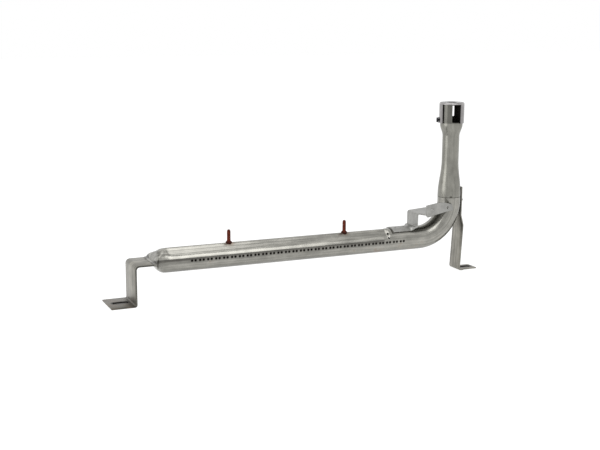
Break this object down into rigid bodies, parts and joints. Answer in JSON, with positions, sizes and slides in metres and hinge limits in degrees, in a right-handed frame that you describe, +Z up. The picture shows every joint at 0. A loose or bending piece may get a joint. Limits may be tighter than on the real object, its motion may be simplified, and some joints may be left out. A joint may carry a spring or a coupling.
{
  "type": "gas tube burner assembly",
  "caption": "Ported gas burner tube on strap feet, with an elbow, an upright venturi, a turning air shutter, weld studs and an igniter bracket.",
  "frame": {"origin": "midway between the centres of the slots in the feet, on the plane that the feet stand on", "axes": "+X along the burner tube from its closed end to the upright, +Z up, +Y to the side away from the igniter bracket's flange"},
  "size_m": [0.4746, 0.0456, 0.2113],
  "materials": {
    "tube_steel": "bright rolled, satin",
    "shutter_steel": "satin",
    "strap_steel": "matt, drawn lengthwise",
    "bracket_steel": "matt",
    "screw_steel": "black oxide",
    "stud_copper": "copper coated, heat tinted"
  },
  "bodies": {
    "burner": {"burner_tube": "tube_steel", "venturi_tube": "tube_steel", "front_bracket": "strap_steel", "rear_bracket": "strap_steel", "rear_bracket_screw": "screw_steel", "igniter_bracket": "bracket_steel", "front_stud": "stud_copper", "rear_stud": "stud_copper"},
    "air_shutter": {"air_shutter": "shutter_steel"},
    "shutter_screw": {"shutter_screw": "screw_steel"}
  },
  "joints": [
    {"name": "air_shutter_turn", "type": "hinge", "parent": "burner", "child": "air_shutter", "pos_m": [0.198, 0, 0.198], "axis": [0, 0, 1], "range_deg": [-10, 30]},
    {"name": "shutter_screw_turn", "type": "hinge", "parent": "air_shutter", "child": "shutter_screw", "pos_m": [0.18544, 0.00725, 0.1894], "axis": [-0.866, 0.5, 0], "range_deg": [0, 360]}
  ]
}
